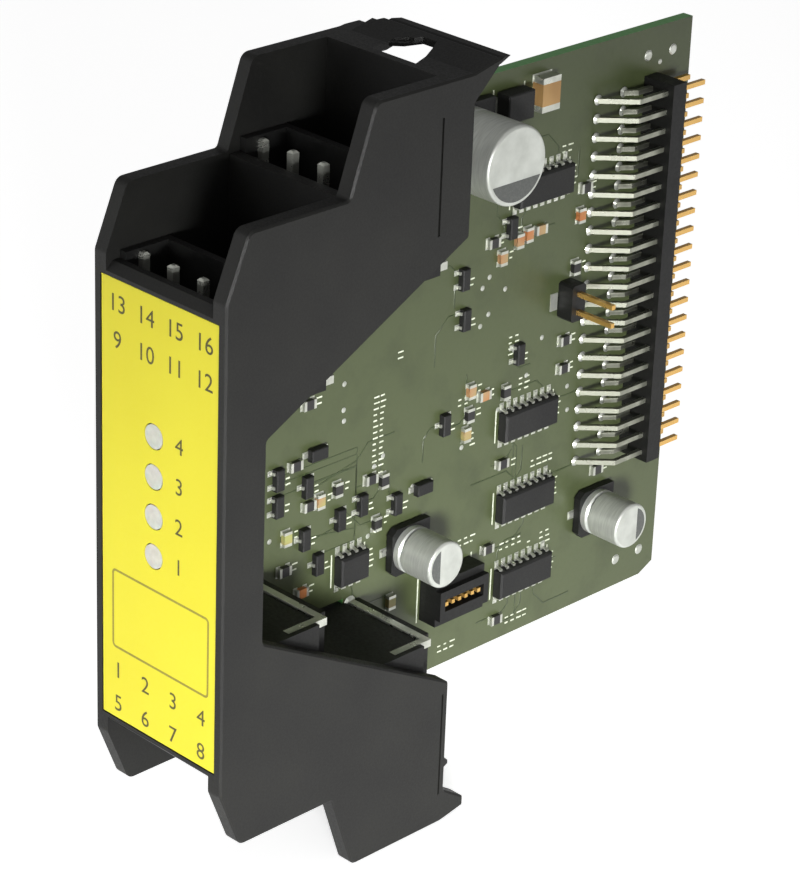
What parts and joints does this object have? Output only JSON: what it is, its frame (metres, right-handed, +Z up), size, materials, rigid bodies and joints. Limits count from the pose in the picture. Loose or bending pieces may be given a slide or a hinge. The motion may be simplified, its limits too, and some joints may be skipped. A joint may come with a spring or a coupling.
{
  "type": "safety control module",
  "caption": "Plug-in safety control module: stepped black housing one rail unit wide, yellow front, plug pockets, and a populated board that stands out behind.",
  "frame": {"origin": "middle of the bounding box in plan, at the level of the base", "axes": "+Z up along the front's long side, +Y from the front towards the board's rear edge, +X to the right seen from the front"},
  "size_m": [0.0226, 0.0962, 0.1],
  "materials": {
    "housing_plastic": "fine matt texture, black",
    "label_print": "smooth satin film, yellow",
    "lens_plastic": "cloudy, smooth",
    "led_epoxy": "clear cast epoxy",
    "tinned_metal": "bright tin plating",
    "plated_pins": "tin plating with gilt tips",
    "gilt_metal": "gold plating",
    "board_laminate": "green solder mask over glass laminate",
    "connector_plastic": "smooth, black",
    "base_plastic": "smooth, black",
    "can_aluminium": "drawn, satin",
    "chip_epoxy": "fine matt epoxy",
    "resistor_ceramic": "glazed, black",
    "capacitor_ceramic": "sintered, tan"
  },
  "bodies": {
    "root": {"bottom_front_terminal_header": "connector_plastic", "bottom_front_terminal_pins": "tinned_metal", "bottom_rear_terminal_header": "connector_plastic", "bottom_rear_terminal_pins": "tinned_metal", "capacitor_leads": "tinned_metal", "chip_bodies": "chip_epoxy", "chip_ceramics": "capacitor_ceramic", "chip_end_caps": "tinned_metal", "chip_leads": "tinned_metal", "chip_resistors": "resistor_ceramic", "circuit_board": "board_laminate", "edge_header_body": "connector_plastic", "edge_header_inner_pins": "plated_pins", "edge_header_outer_pins": "plated_pins", "front_label": "label_print", "housing": "housing_plastic", "indicator_led_leads": "tinned_metal", "indicator_leds": "led_epoxy", "indicator_lenses": "lens_plastic", "jumper_header_body": "connector_plastic", "jumper_header_pins": "gilt_metal", "large_capacitor_base": "base_plastic", "large_capacitor_can": "can_aluminium", "large_ceramic_body": "capacitor_ceramic", "large_ceramic_caps": "tinned_metal", "power_diode_body": "chip_epoxy", "power_diode_tabs": "tinned_metal", "service_socket_body": "connector_plastic", "service_socket_contacts": "gilt_metal", "small_capacitor_bases": "base_plastic", "small_capacitor_cans": "can_aluminium", "small_diode_bodies": "chip_epoxy", "small_diode_tabs": "tinned_metal", "top_front_terminal_header": "connector_plastic", "top_front_terminal_pins": "tinned_metal", "top_rear_terminal_header": "connector_plastic", "top_rear_terminal_pins": "tinned_metal", "transistor_bodies": "chip_epoxy", "transistor_leads": "tinned_metal"}
  },
  "joints": []
}
